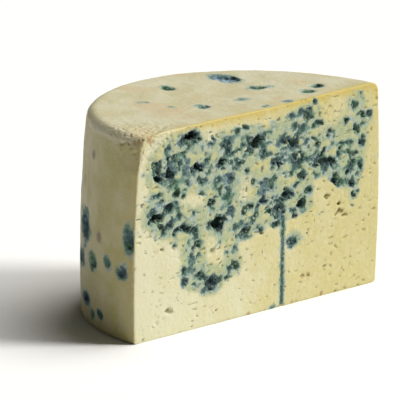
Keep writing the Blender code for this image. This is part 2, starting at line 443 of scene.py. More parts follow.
# %% [markdown]
# The worn corner is not only rounder than the rest of the rim, it has lost crumbs as well. Fine
# noise, cut off below a threshold, gives separate little chips, and they fade with the distance
# from that corner.

# %% The chips of the worn corner
CHIP = 1.5 * MM
CHIP_REACH = 34 * MM
CHIP_DEPTH = 0.5 * MM


def chips(points):
    """1 where a crumb broke off near the worn corner, 0 elsewhere."""
    near = 1.6 * (1 - np.linalg.norm(points - np.array(WORN_CORNER), axis=1) / CHIP_REACH)
    near = np.clip(near, 0, 1) * smooth_step(points[:, 2], HEIGHT - 14 * MM, HEIGHT - 4 * MM)
    return smooth_step(noise_at(points, CHIP, 13.0), 0.16, 0.4) * near


# %% [markdown]
# To know how deep a point lies, the half wheel without its hollows is needed. Its plain form is
# convex, so the convex hull of the solid is that form, and the distance to it is the depth.

# %% Measure depth under the plain form
pick(frame["nodes"][NODE])
bpy.ops.object.duplicate()
plain = bpy.context.view_layer.objects.active
bpy.ops.object.mode_set(mode="EDIT")
bpy.ops.mesh.select_all(action="SELECT")
bpy.ops.mesh.convex_hull()
bpy.ops.object.mode_set(mode="OBJECT")
plain_skin = BVHTree.FromObject(plain, bpy.context.evaluated_depsgraph_get())
print("plain form measured:", triangles(plain), "triangles")
bpy.data.objects.remove(plain)


def depth_of(points):
    """Distance from each point to the plain skin, and whether the cut is the nearest part of it."""
    found = [plain_skin.find_nearest(place) for place in points.tolist()]
    depths = np.array([hit[3] for hit in found])
    by_cut = np.array([hit[1].y < -0.5 for hit in found])
    return depths, by_cut


def distance_to(points, targets):
    """Distance from each point to the nearest of the targets."""
    tree = kdtree.KDTree(len(targets))
    for index, target in enumerate(targets.tolist()):
        tree.insert(target, index)
    tree.balance()
    return np.array([tree.find(place)[2] for place in points.tolist()])


# %% [markdown]
# Now the points move. Reading and setting them one by one would be slow, so three helpers do it
# for a whole piece at once.

# %% Read and move a piece's points
def points_of(piece):
    """The places of a piece's points, as rows of an array."""
    places = np.empty(len(piece.data.vertices) * 3)
    piece.data.vertices.foreach_get("co", places)
    return places.reshape(-1, 3)


def normals_of(piece):
    """The directions that a piece's points face."""
    directions = np.empty(len(piece.data.vertices) * 3)
    piece.data.vertex_normals.foreach_get("vector", directions)
    return directions.reshape(-1, 3)


def move_points(piece, places):
    """Puts a piece's points at new places."""
    piece.data.vertices.foreach_set("co", places.ravel())
    piece.data.update()


# %% [markdown]
# The Boolean left outlines that are too smooth for torn curd. Kneading pushes the points about
# along the cut, in waves of a few millimetres, so that no outline stays round. The rim, the base
# and the straight needle channel keep their shape.

# %% Knead the outlines of the hollows
KNEAD = 1.5 * MM
KNEAD_WAVE = 3.4 * MM
KNEAD_FINE_WAVE = 1.6 * MM
CHANNEL_X = 18 * MM
CHANNEL_TOP = 47 * MM


def kneaded(places):
    """The points, pushed about along the cut so that no hollow keeps a smooth outline."""
    to_border = np.minimum(RADIUS - np.abs(places[:, 0]), np.minimum(places[:, 2], HEIGHT - places[:, 2]))
    strength = smooth_step(to_border, 2 * MM, 8 * MM)
    strength *= 1 - smooth_step(places[:, 1] - CUT_Y, 6 * MM, 11 * MM)
    beside = np.exp(-(((places[:, 0] - CHANNEL_X) / (4 * MM)) ** 2))
    strength *= 1 - beside * (1 - smooth_step(places[:, 2], CHANNEL_TOP, CHANNEL_TOP + 4 * MM))
    flattened = places.copy()
    flattened[:, 1] = 0.0
    moved = places.copy()
    for axis, shift in ((0, 61.0), (2, 71.0)):
        push = KNEAD * noise_at(flattened, KNEAD_WAVE, shift)
        push += 0.4 * KNEAD * noise_at(flattened, KNEAD_FINE_WAVE, shift + 5)
        moved[:, axis] += push * strength
    return moved


places = kneaded(points_of(body))
move_points(body, places)
print(len(places), "points kneaded")

# %% [markdown]
# From here on points only move inwards, so the cheese stays inside its real size. On the cut they
# sink into the crevices, soonest beside a hollow, and into the tears, pits and chips. Over all of
# it lies a crumbly grain, which is coarser where the curd is loose.

# %% Sink the crevices into the cut
CREVICE_DEPTH = 2.6 * MM
CRUMBLE = 0.42 * MM
CURD_GRAIN = 0.16 * MM
TEAR_DEPTH = 0.5 * MM
PIT_SHARE = 0.8
CUT_SKIN = 0.6 * MM
FACES_CUT = 0.55
HOLLOW_WALL = 0.7 * MM
NIBBLE = 0.34
NIBBLE_REACH = 1.3 * MM

facing = normals_of(body)
behind = places[:, 1] - CUT_Y
depth, by_cut = depth_of(places)
on_cut = (behind < CUT_SKIN) & (facing[:, 1] < -FACES_CUT)
on_wall = ~on_cut & (depth > HOLLOW_WALL)
hollows = places[on_wall]

spots = places[on_cut]
loose = looseness(spots)
near = distance_to(spots, hollows)
on_plane = on_cut_plane(spots)
open_by = crevice(on_plane, clumping(on_plane), loose) + NIBBLE * np.exp(-near / NIBBLE_REACH)
deepness = 0.42 + 0.85 * noise_at(spots, 6 * MM, 5.0)
sink = CREVICE_DEPTH * np.clip(deepness, 0.08, 1) * smooth_step(open_by, 0.0, 0.4)
crumble = CRUMBLE * (0.25 + 0.75 * loose) * (0.5 + 0.5 * noise_at(spots, 3.2 * MM, 2.0))
grain = CURD_GRAIN * (0.5 + 0.5 * noise_at(spots, 1.1 * MM, 7.0))
torn = TEAR_DEPTH * (tears(spots) + PIT_SHARE * pits(spots)) + CHIP_DEPTH * chips(spots)
places[on_cut, 1] += sink + crumble + grain + torn
print("crevices cover", round(float((open_by > 0).mean() * 100), 1), "% of the cut")

# %% [markdown]
# The walls of the hollows are grains of curd. Voronoi noise raises the middle of each grain and
# lowers the joints between them.

# %% Lumps on the walls of the hollows
WALL_LUMP = 2.1 * MM
WALL_RELIEF = 1.1 * MM
LUMP_MIDDLE = 0.45

lumps = np.array([noise.voronoi(where)[0][0] for where in (hollows / WALL_LUMP).tolist()])
places[on_wall] += facing[on_wall] * (WALL_RELIEF * (LUMP_MIDDLE - lumps))[:, None]
print(len(hollows), "points moved on the walls")

# %% [markdown]
# The rind is calmer: slow, gentle waves in three sizes, and the chips at the worn corner. The
# base stays flat, because the piece stands on it.

# %% Waves on the rind
RIND_WAVES = 0.35 * MM
CUT_MARGIN = 0.05 * MM

on_rind = ~on_cut & ~on_wall
spots = places[on_rind]
wave = 0.6 * noise_at(spots, 14 * MM, 3.0) + 0.3 * noise_at(spots, 5 * MM, 9.0)
wave += 0.16 * noise_at(spots, 1.8 * MM, 4.0)
off_base = smooth_step(spots[:, 2], 0.0, 2 * MM)
inwards = RIND_WAVES * np.clip(0.5 + wave, 0, 1.5) * off_base + CHIP_DEPTH * chips(spots)
places[on_rind] -= facing[on_rind] * inwards[:, None]
places[:, 1] = np.maximum(places[:, 1], CUT_Y + CUT_MARGIN)
move_points(body, places)
print(len(spots), "points moved on the rind")

# %% [markdown]
# The remeshed skin has far more faces than its calm parts need. A Decimate modifier spends them
# where the surface bends, and keeps the piece light enough to export whole.

# %% Thin the skin
MOST_TRIANGLES = 192_000
soften = body.modifiers.new("soften", "SMOOTH")
soften.factor = 0.4
soften.iterations = 1
apply(body, soften)
thin = body.modifiers.new("thin", "DECIMATE")
thin.ratio = min(1.0, MOST_TRIANGLES / triangles(body))
apply(body, thin)
pick(body)
bpy.ops.object.shade_smooth()
print("body thinned:", triangles(body), "triangles")

# %% [markdown]
# ## Where the mould grows
#
# A material can't see which point lies in a hollow or on the rind. So each point of the body gets
# a few numbers, stored on the mesh as attributes, which the material reads. They could be painted
# by hand, but worked out from the shape they fit every crevice of it.
#
# The first ones tell where a point is: how far behind the cut, how deep under the plain form, and
# whether on the rind.

# %% Tell rind, cut and hollows apart
DEEP = 0.9 * MM
PIT_FLOOR = 1.25 * MM
FULL_DEPTH = 5 * MM
RIND_START = 0.3 * MM
RIND_EDGE = 1.2 * MM

places = points_of(body)
facing = normals_of(body)
depth, by_cut = depth_of(places)
behind = places[:, 1] - CUT_Y
from_cut = smooth_step(behind, RIND_START, RIND_EDGE)
on_top = smooth_step(places[:, 2], HEIGHT - 7 * MM, HEIGHT - 4 * MM)
rind = np.where(by_cut, 0, from_cut * (1 - smooth_step(depth, DEEP, PIT_FLOOR)))
inside = depth > DEEP
in_rind = (depth > PIT_FLOOR) & ~by_cut & (behind > FULL_DEPTH)
from_corner = np.linalg.norm(places - np.array(WORN_CORNER), axis=1)
loose = looseness(places)
ragged = noise_at(places, 2.4 * MM, 6.0)
print(int(inside.sum()), "of", len(places), "points lie in hollows")

# %% [markdown]
# Some mould has no hollow under it: stains in the paste, and round marks on the rind. They are listed in
# one table for the cut, one for the side, as if it were unrolled, and one for the top. Each is a soft oval
# with a strength, and a blueness from 0 for green to 1 for blue.

# %% Place the stains and marks
# Stains on the cut: across, height, half width, half height in mm, strength, blueness.
STAINS = [
    (-24, 70, 11, 14, 0.62, 0.15),
    (5, 65, 7, 3.4, 0.9, 0.75),
    (15, 51, 6, 3.6, 0.9, 0.8),
    (-34, 21, 6, 5, 0.8, 0.35),
    (-43, 27, 5, 3, 0.8, 0.95),
    (-2, 91, 8, 5, 0.7, 0.95),
    (24, 84, 6, 4, 0.7, 0.85),
    (-56, 98, 4, 3, 0.8, 1.0),
    (-48, 40, 5, 6, 0.5, 0.2),
    (50, 70, 11, 4, 0.65, 0.35),
    (57, 61, 5, 5, 0.6, 0.4),
    (70, 99, 8, 4, 0.45, 0.1),
    (74, 88, 6, 8, 0.35, 0.2),
    (35, 96, 6, 4, 0.5, 0.15),
    (-68, 66, 5, 4, 0.6, 0.1),
    (-45, 83, 8, 4, 0.6, 0.85),
    (-10, 44, 8, 2.4, 0.7, 0.4),
    (25, 33, 4, 2.4, 0.6, 0.2),
    (12, 1, 3.5, 1.6, 0.95, 0.6),
]
# Marks on the rind of the side: distance along it from the left end of the cut, height, half
# width, half height in mm, strength, blueness.
SIDE_STAINS = [
    (4, 53, 4, 8, 1.0, 0.5),
    (9, 36, 4.5, 4.5, 0.95, 0.6),
    (21, 38, 3.5, 4, 0.9, 0.3),
    (37, 35, 5.5, 5, 0.9, 0.1),
    (50, 50, 9, 9, 1.0, 0.8),
    (60, 32, 11, 5, 0.85, 1.0),
    (50, 13, 8, 4, 0.85, 0.8),
    (29, 9, 3.5, 3, 1.0, 0.0),
    (39, 7, 3.5, 3, 0.95, 0.0),
    (70, 66, 5, 6, 0.7, 0.5),
    (88, 30, 6, 6, 0.8, 0.3),
    (102, 58, 7, 5, 0.8, 0.7),
    (131, 40, 6, 8, 0.8, 0.5),
    (158, 62, 5, 5, 0.7, 0.2),
    (186, 45, 8, 6, 0.85, 0.8),
    (214, 55, 5, 7, 0.8, 0.4),
    (238, 30, 6, 4, 0.7, 0.2),
    (262, 47, 5, 6, 0.8, 0.6),
]
# Marks on the rind of the top: across, behind the cut, half width, half length in mm, strength,
# blueness.
TOP_STAINS = [
    (-2, 64, 4, 5, 0.8, 0.0),
    (35, 58, 7, 10, 1.0, 0.9),
    (31, 34, 5, 4.5, 0.68, 0.2),
    (38, 31, 5, 4, 0.5, 1.0),
    (10, 22, 5, 4, 0.55, 0.8),
    (-17, 25, 4.5, 4.5, 0.66, 0.5),
    (-33, 50, 4, 4, 0.5, 0.6),
    (-29, 34, 3, 4, 0.5, 0.0),
    (47, 11, 4.5, 4, 0.7, 0.2),
    (58, 15, 5, 4.5, 0.76, 0.2),
    (9, 5, 4, 3, 0.55, 0.3),
    (24, 4, 5, 3, 0.65, 0.8),
]


def stains(first, second, table):
    """Strength of a table's stains at each point, and how blue they are."""
    strength = np.zeros(len(first))
    blue = np.zeros(len(first))
    for x, y, half_width, half_height, most, blueness in table:
        reach = ((first / MM - x) / half_width) ** 2 + ((second / MM - y) / half_height) ** 2
        here = most * np.exp(-(reach**1.2))
        strength = np.maximum(strength, here)
        blue += here * (blueness - 0.4)
    return strength, blue


stain, stain_blue = stains(places[:, 0], places[:, 2], STAINS)
along = RADIUS * (math.pi - np.arctan2(behind, places[:, 0]))
side_stain, side_blue = stains(along, places[:, 2], SIDE_STAINS)
top_stain, top_blue = stains(places[:, 0], behind, TOP_STAINS)
rind_stain = np.where(on_top > 0.5, top_stain, side_stain)
rind_blue = np.where(on_top > 0.5, top_blue, side_blue)
print(len(STAINS + SIDE_STAINS + TOP_STAINS), "stains and marks placed")

# %% [markdown]
# Mould is one smooth number, from -1 for none to 1 for the heart of a blotch, and a blotch begins
# at 0. On the cut it is the greatest of four: in the crevices, on the lips of the hollows, in the
# stains and along the needle channel. Where no mould can be, the number goes down to -1.

# %% Mould on the cut
LIP = 2.2 * MM
CHANNEL_STAIN = 2.4 * MM
MOULD_REACH = 8 * MM
MOULD_END = 12 * MM


def only_where(value, mask):
    """The value where the mask is 1, and no mould at all where it is 0."""
    return value * mask - (1 - mask)


on_plane = on_cut_plane(places)
clumps = clumping(on_plane)
lip = np.exp(-distance_to(places, places[inside & ~in_rind]) / LIP)
in_channel = np.exp(-(((places[:, 0] - CHANNEL_X) / CHANNEL_STAIN) ** 2))
in_channel *= 1 - smooth_step(places[:, 2], CHANNEL_TOP, CHANNEL_TOP + 3 * MM)

in_crevices = crevice(on_plane, clumps, loose)
on_lips = only_where(1.25 * lip - 0.75 + 0.4 * clumps, smooth_step(loose, 0.02, 0.2))
in_stains = only_where(stain - 0.5 + 0.45 * clumps, smooth_step(stain, 0.0, 0.25))
by_channel = in_channel - 0.64 + 0.25 * ragged
mould = np.maximum.reduce([in_crevices, on_lips, in_stains, by_channel])
mould = only_where(mould, (1 - rind) * (1 - smooth_step(behind, MOULD_REACH, MOULD_END)))
print("mould on", int((mould > 0).sum()), "points of the cut and its hollows")

# %% [markdown]
# On the rind the mould grows in the marks, which rough noise frays, and in the little pits. It
# keeps off the worn corner, which is rubbed clean.

# %% Mould on the rind
PIT_LIP = 1.4 * MM
SIDE_HEART = 0.12
CORNER_CLEAN = 13 * MM
CORNER_END = 19 * MM

pit = np.exp(-distance_to(places, places[in_rind]) / PIT_LIP)
rough = noise_at(places, 4 * MM, 51.0) + 0.6 * noise_at(places, 1.8 * MM, 53.0)
marks = 1.15 * rind_stain - 0.52 + 0.45 * rough + SIDE_HEART * (1 - on_top)
marks = only_where(marks, smooth_step(rind_stain, 0.0, 0.2) * from_cut)
mould = np.maximum.reduce([mould, marks, 1.3 * pit - 0.7 + 0.15 * ragged])
mould = only_where(mould, smooth_step(from_corner, CORNER_CLEAN, CORNER_END))
mould = np.clip(mould, -1, 1)
print("mould covers", round(float((mould > 0).mean() * 100), 1), "% of the points")

# %% [markdown]
# Some mould is green and some violet-blue. The hue drifts in slow noise, the tables push it one
# way or the other, and the right end of the cut is greener than the rest.

# %% Green or blue
HUE_DRIFT = 9 * MM
GREENER = 0.3

blueness = np.where(from_cut > 0.5, rind_blue, stain_blue)
far_right = smooth_step(places[:, 0], 34 * MM, 62 * MM) * (1 - from_cut)
hue = 0.42 + 0.7 * noise_at(places, HUE_DRIFT, 1.0) + blueness - GREENER * far_right
hue = np.clip(hue, 0, 1)
print("mean hue of the mould:", round(float(hue[mould > 0].mean()), 2))

# %% [markdown]
# Just under the rind the paste dries and turns yellow. Along the top edge the band is wider and stronger,
# and that part is painted light: the glow of light from above passing through the edge. Its width wanders,
# and it is lost where the corner is worn. On the rind itself a faint yellow fades away behind the cut.

# %% The yellow layer under the rind
RIM_BAND = 1.5 * MM
TOP_GLOW_BAND = 2.8 * MM
SIDE_RIM = 0.4
RIND_TINGE = 0.5
TINGE_REACH = 7 * MM

cloudy = noise_at(places, 7 * MM, 8.0)
to_rind = distance_to(places, places[rind > 0.5])
# Painted light: the band widens and strengthens along the top edge, where light from above glows through
# it.
rim_width = RIM_BAND + TOP_GLOW_BAND * smooth_step(places[:, 2], HEIGHT - 12 * MM, HEIGHT - 5 * MM)
near_rim = np.exp(-((to_rind / (rim_width * (1 + 0.5 * cloudy))) ** 1.6))
crown_glow = smooth_step(places[:, 2], HEIGHT - 14 * MM, HEIGHT - 6 * MM)
worn_off = 1 - smooth_step(places[:, 0], -72 * MM, -36 * MM)
rim = near_rim * (SIDE_RIM + (1 - SIDE_RIM) * crown_glow * (1 - worn_off))
rim = np.where(rind > 0.5, RIND_TINGE * np.exp(-behind / TINGE_REACH), rim)
print("yellow layer on", int((rim > 0.3).sum()), "points")

# %% [markdown]
# Three kinds of round spots are listed too: brown where the paste has dried, plum on the side, and a pale
# blue powder of spores in the middle of some marks.

# %% Brown, plum and powdery spots
# Powder: across, behind the cut, height, radius in mm, strength.
BLOOMS = [
    (35, 58, 104, 6, 1.0),
    (5, 1, 65, 5, 0.55),
    (-17, 25, 105, 3.5, 0.6),
    (-34, 1, 20, 4, 0.45),
    (-43, 1, 27, 4, 0.4),
    (-25, 1, 72, 7, 0.35),
    (15, 1, 50, 4, 0.4),
    (-89, 6, 54, 5, 0.35),
    (52, 1, 71, 6, 0.3),
    (-57, 1, 77, 5, 0.3),
    (-47, 1, 59, 4, 0.35),
    (-60, 1, 98, 4, 0.4),
    (27, 1, 90, 4, 0.3),
]
# Brown spots, in the same terms.
BROWN_SPOTS = [
    (-79, 1, 103, 3.0, 1.0),
    (-85, 4, 101, 2.4, 0.7),
    (-71, 2, 105, 2.0, 0.5),
    (-6, 0, 1, 1.6, 0.8),
    (37, 0, 12, 2.2, 0.7),
    (33, 0, 13, 1.8, 0.7),
    (48, 0, 1.5, 1.8, 0.8),
    (26, 0, 1, 1.5, 0.8),
]
# Plum-coloured spots, in the same terms.
PLUM_SPOTS = [
    (-85, 29, 49, 3.2, 1.0),
    (-81, 39, 89, 3.4, 1.0),
    (-75, 50, 73, 4.5, 0.6),
    (20, 88, 30, 4, 0.8),
    (78, 45, 70, 3.5, 0.9),
    (60, 67, 22, 4, 0.7),
]


def round_spots(points, table):
    """Strength of a table's round spots at each point."""
    strength = np.zeros(len(points))
    for across, behind_cut, height, radius, most in table:
        centre = (across * MM, CUT_Y + behind_cut * MM, height * MM)
        reach = np.linalg.norm(points - centre, axis=1) / (radius * MM)
        strength = np.maximum(strength, most * np.exp(-(reach**3)))
    return strength


powdered = round_spots(places, BLOOMS) * (0.85 + 0.5 * ragged)
browned = round_spots(places, BROWN_SPOTS) * (0.75 + 0.5 * ragged)
plummed = round_spots(places, PLUM_SPOTS) * (0.8 + 0.5 * ragged)
print(len(BLOOMS + BROWN_SPOTS + PLUM_SPOTS), "round spots placed")

# %% [markdown]
# All of it is now stored on the body, under the names that the material reads.

# %% Store the numbers on the body
def store(piece, name, values):
    """Keeps one number for each point, for the material to read."""
    attribute = piece.data.attributes.new(name, "FLOAT", "POINT")
    attribute.data.foreach_set("value", np.asarray(values, np.float32))


# How deep a point lies; the material also uses this depth for painted shade in the hollows.
sunk = np.clip(depth / FULL_DEPTH, 0, 1) * smooth_step(from_corner, 5 * MM, CORNER_END)
zone = smooth_step(band_at(places) + 0.12 * ragged, 0.05, 0.45)
facts = {
    "depth": sunk,
    "mould": mould,
    "zone": zone * (1 - from_cut),
    "hue": hue,
    "rind": rind,
    "rim": rim,
    "torn": np.maximum(tears(places) * (1 - from_cut), 0.4 * chips(places)),
    "pitted": pits(places) * (1 - from_cut),
    "brown": browned,
    "bloom": powdered,
    "crown": on_top,
    "plum": plummed,
    # Painted shade: how much a point faces down, as under an overhang; the material darkens such roofs.
    "overhang_shade": smooth_step(-facing[:, 2], -0.25, 0.5),
}
for name, values in facts.items():
    store(body, name, values)
print("stored on the body:", ", ".join(facts))

# %% [markdown]
# ## The paste's material
#
# Colours are given as the eye reads them, from 0 to 255, and turned into the light values that
# Blender calculates with.

# %% Colour helpers
def light_value(channel):
    """Turns one 0 to 255 display value into the light it stands for."""
    share = channel / 255
    return share / 12.92 if share <= 0.04045 else ((share + 0.055) / 1.055) ** 2.4


def colour(red, green, blue):
    """A display colour as Blender's sockets want it."""
    return (light_value(red), light_value(green), light_value(blue), 1.0)


# %% [markdown]
# A material is a chain of nodes. Helpers keep that chain short to read: one adds a node, one
# fills a socket, one mixes two colours by a mask, and one makes noise at a real size.

# %% Node helpers
class Mixer:
    """Adds nodes to one material and links them."""

    def __init__(self, name):
        self.material = bpy.data.materials.new(name)
        self.material.use_nodes = True
        self.tree = self.material.node_tree
        self.shader = self.tree.nodes["Principled BSDF"]
        self.place = self.add("ShaderNodeTexCoord").outputs["Object"]

    def add(self, kind, **settings):
        """A new node with its settings filled in."""
        node = self.tree.nodes.new(kind)
        for name, value in settings.items():
            setattr(node, name, value)
        return node

    def feed(self, socket, value):
        """Links a socket, or sets it if the value is a plain one."""
        if isinstance(value, bpy.types.NodeSocket):
            self.tree.links.new(value, socket)
        else:
            socket.default_value = value

    def read(self, name):
        """The value of an attribute stored on the mesh."""
        return self.add("ShaderNodeAttribute", attribute_name=name).outputs["Fac"]

    def noise(self, size, detail=4.0, roughness=0.55):
        """Cloudy noise whose largest blobs are about as wide as size."""
        node = self.add("ShaderNodeTexNoise")
        self.feed(node.inputs["Vector"], self.place)
        node.inputs["Scale"].default_value = 1 / size
        node.inputs["Detail"].default_value = detail
        node.inputs["Roughness"].default_value = roughness
        return node.outputs["Fac"]

    def axis(self, name):
        """One of the point's coordinates, in metres."""
        node = self.add("ShaderNodeSeparateXYZ")
        self.feed(node.inputs[0], self.place)
        return node.outputs[name]

    def math(self, operation, *values):
        """One sum on two or three values."""
        node = self.add("ShaderNodeMath", operation=operation)
        for socket, value in zip(node.inputs, values):
            self.feed(socket, value)
        return node.outputs[0]

    def ramp(self, value, start, end, bottom=0.0, top=1.0):
        """A value eased from bottom to top as it goes from start to end."""
        node = self.add("ShaderNodeMapRange", interpolation_type="SMOOTHSTEP")
        self.feed(node.inputs["Value"], value)
        for name, number in zip(("From Min", "From Max", "To Min", "To Max"), (start, end, bottom, top)):
            node.inputs[name].default_value = number
        return node.outputs["Result"]

    def mix(self, mask, first, second):
        """The first colour where the mask is 0, the second where it is 1."""
        node = self.add("ShaderNodeMix", data_type="RGBA")
        self.feed(node.inputs[0], mask)
        self.feed(node.inputs[6], first)
        self.feed(node.inputs[7], second)
        return node.outputs[2]

    def bump(self, height, distance, below=None):
        """Small relief that the mesh is too coarse for."""
        node = self.add("ShaderNodeBump")
        node.inputs["Distance"].default_value = distance
        self.feed(node.inputs["Height"], height)
        if below is not None:
            self.feed(node.inputs["Normal"], below)
        return node.outputs["Normal"]


# %% [markdown]
# The mould's colour runs from a pale halo through grey-green or grey-blue to almost black, and it
# is the same on the body and on the loose tufts. So one function builds it from an amount of
# mould and a hue. Fine noise frays the amount at every edge, and wider noise makes some hearts
# dark and some halos wide, as no two blotches are alike.

# %% Mould colour
FRAY = 1.1 * MM
HALO = colour(160, 175, 148)
HALO_BLUE = colour(165, 180, 178)
GREEN_MOULD = colour(108, 140, 116)
BLUE_MOULD = colour(106, 130, 134)
GREEN_HEART = colour(50, 86, 70)
BLUE_HEART = colour(60, 78, 98)


def mould_colour(mixer, growth, hue, paste):
    """The paste with halo, body and heart of the mould on it, in green or in blue."""
    fine = mixer.noise(FRAY, 4.0, 0.6)
    frayed = mixer.math("ADD", growth, mixer.ramp(fine, 0.3, 0.7, -0.16, 0.16))
    cloudy = mixer.ramp(mixer.noise(9 * MM, 2.0), 0.3, 0.6, 0.5, 1.0)
    patchy = mixer.ramp(mixer.noise(2.4 * MM, 3.0), 0.3, 0.7, -0.2, 0.2)
    reach = mixer.ramp(mixer.noise(6 * MM, 2.0), 0.35, 0.65, 0.4, 0.95)
    halo = mixer.math("MULTIPLY", mixer.ramp(frayed, -0.45, -0.06), reach)
    blotch = mixer.ramp(frayed, -0.2, 0.22, 0.0, 0.95)
    heart = mixer.ramp(mixer.math("ADD", frayed, patchy), 0.14, 0.68)
    heart = mixer.math("MULTIPLY", heart, cloudy)
    powder = mixer.mix(mixer.ramp(mixer.noise(5 * MM, 2.0), 0.4, 0.6), HALO, HALO_BLUE)
    stained = mixer.mix(halo, paste, powder)
    stained = mixer.mix(blotch, stained, mixer.mix(hue, GREEN_MOULD, BLUE_MOULD))
    stained = mixer.mix(heart, stained, mixer.mix(hue, GREEN_HEART, BLUE_HEART))
    return stained, blotch


# %% [markdown]
# The paste's colour is built in layers, the widest first. It drifts from cream to a darker butter yellow
# towards the right end of the cut, which is partly painted shade, with paler specks of curd in it. In the
# loose band it is tinged grey-green and yellow, with a thin green veil and a little peach.

# %% Paste on the cut
PASTE_TINT = 22 * MM
CURD_SPECK = 2.6 * MM
CREAM = colour(216, 212, 178)
BUTTER_AND_SHADE = colour(203, 193, 134)
BAND_PASTE = colour(168, 178, 138)
BAND_YELLOW = colour(192, 188, 128)
VEIL = colour(146, 164, 132)
PEACH = colour(207, 188, 150)

skin = Mixer("blue_cheese")
# Painted shade in part: the paste darkens to butter yellow towards the right end of the cut.
yellow_and_shade = skin.math("MULTIPLY_ADD", skin.axis("X"), 3.6, skin.noise(PASTE_TINT))
paste = skin.mix(skin.ramp(yellow_and_shade, 0.18, 0.78), CREAM, BUTTER_AND_SHADE)
paste = skin.mix(skin.ramp(skin.noise(CURD_SPECK), 0.42, 0.75, 0.0, 0.35), paste, CREAM)
tinged = skin.mix(skin.ramp(skin.noise(9 * MM, 3.0), 0.46, 0.62), BAND_PASTE, BAND_YELLOW)
tinged = skin.mix(skin.ramp(skin.noise(3.4 * MM, 4.0), 0.48, 0.64, 0.0, 0.7), tinged, VEIL)
tinged = skin.mix(skin.ramp(skin.noise(5 * MM, 2.0), 0.6, 0.72, 0.0, 0.55), tinged, PEACH)
paste = skin.mix(skin.ramp(skin.read("zone"), 0.0, 1.0, 0.0, 0.9), paste, tinged)
print("paste coloured with", len(skin.tree.nodes), "nodes")

# %% [markdown]
# The rind is the paste's own dried skin: pale with a flush of peach on the top, and a darker buff on the
# side, which is partly painted shade, as the side faces away from the lights. The yellow layer goes over
# both, where it comes to the surface, with its painted glow along the top edge.

# %% Rind and the yellow layer
RIND_PALE = colour(211, 207, 177)
RIND_BUFF = colour(201, 194, 156)
SIDE_BUFF_AND_SHADE = colour(180, 172, 115)
UNDER_RIND = colour(199, 178, 90)

crown = skin.mix(skin.ramp(skin.noise(18 * MM), 0.35, 0.65), RIND_PALE, RIND_BUFF)
crown = skin.mix(skin.ramp(skin.noise(26 * MM, 2.0), 0.52, 0.66, 0.0, 0.6), crown, PEACH)
# Painted shade: the side's buff is darker than the top's colour.
side_buff_and_shade = skin.mix(skin.ramp(skin.noise(12 * MM), 0.3, 0.7, 0.0, 0.75), SIDE_BUFF_AND_SHADE, RIND_BUFF)
paste = skin.mix(skin.read("rind"), paste, skin.mix(skin.read("crown"), side_buff_and_shade, crown))
# The yellow layer, with its painted glow along the top edge.
paste = skin.mix(skin.ramp(skin.read("rim"), 0.0, 1.0, 0.0, 0.95), paste, UNDER_RIND)
print("rind coloured with", len(skin.tree.nodes), "nodes")

# %% [markdown]
# The small things lie over that: the brown and plum spots, a dull olive in the tears, the same olive as
# painted shade that darkens every hollow by its depth, and a darker olive in the pits.

# %% Spots, tears and pits
BROWN = colour(150, 100, 58)
PLUM = colour(126, 92, 92)
OLIVE_TEARS_AND_SHADE = colour(120, 112, 65)
PIT_OLIVE = colour(58, 71, 60)

deep = skin.read("depth")
paste = skin.mix(skin.ramp(skin.read("brown"), 0.15, 0.9, 0.0, 0.85), paste, BROWN)
paste = skin.mix(skin.ramp(skin.read("plum"), 0.15, 0.9, 0.0, 0.85), paste, PLUM)
# Painted shade: the olive darkens each point by how deep it lies.
paste = skin.mix(skin.ramp(deep, 0.12, 0.45, 0.0, 0.8), paste, OLIVE_TEARS_AND_SHADE)
paste = skin.mix(skin.ramp(skin.read("torn"), 0.2, 1.0, 0.0, 0.6), paste, OLIVE_TEARS_AND_SHADE)
paste = skin.mix(skin.ramp(skin.read("pitted"), 0.2, 1.0, 0.0, 0.85), paste, PIT_OLIVE)
print("spots coloured with", len(skin.tree.nodes), "nodes")

# %% [markdown]
# The mould covers the paste. A deep hollow that it lines is painted almost black, partly the mould's own
# dark heart and partly painted shade, darkest under an overhang. The powder of spores comes last.

# %% Mould, dark hollows and powder
DEEP_MOULD_AND_SHADE = colour(8, 24, 22)
BLOOM = colour(148, 173, 184)

growth = skin.read("mould")
surface, blotch = mould_colour(skin, growth, skin.read("hue"), paste)
# Painted shade: deep hollows are darkened towards black, most of all where their walls face down.
dark = skin.math("MULTIPLY", skin.ramp(deep, 0.3, 0.8), skin.ramp(growth, -0.3, 0.2))
dark = skin.math("MULTIPLY", dark, skin.ramp(skin.read("overhang_shade"), 0.0, 1.0, 0.3, 1.0))
surface = skin.mix(dark, surface, DEEP_MOULD_AND_SHADE)
surface = skin.mix(skin.ramp(skin.read("bloom"), 0.1, 1.0, 0.0, 0.9), surface, BLOOM)
print("mould coloured with", len(skin.tree.nodes), "nodes")

# %% [markdown]
# Two sizes of bump give the grain that the mesh is too coarse for. Paste shines a little and
# mould doesn't. Paste is moist, so light passes a few millimetres into it before it comes out
# again, and this subsurface scattering is what makes it look soft.

# %% Grain, gloss and scattering
curd = skin.noise(2.8 * MM, 3.0)
grain = skin.noise(0.9 * MM, 6.0, 0.7)
relief = skin.bump(curd, 0.35 * MM)
relief = skin.bump(grain, 0.22 * MM, relief)
skin.feed(skin.shader.inputs["Base Color"], surface)
skin.feed(skin.shader.inputs["Normal"], relief)
skin.feed(skin.shader.inputs["Roughness"], skin.ramp(blotch, 0.0, 0.8, 0.5, 0.9))
skin.shader.inputs["Subsurface Weight"].default_value = 0.22
skin.shader.inputs["Subsurface Radius"].default_value = (1.0, 0.72, 0.36)
skin.shader.inputs["Subsurface Scale"].default_value = 2.5 * MM
skin.shader.inputs["Specular IOR Level"].default_value = 0.35
body.data.materials.clear()
body.data.materials.append(skin.material)
print("body's material has", len(skin.tree.nodes), "nodes")

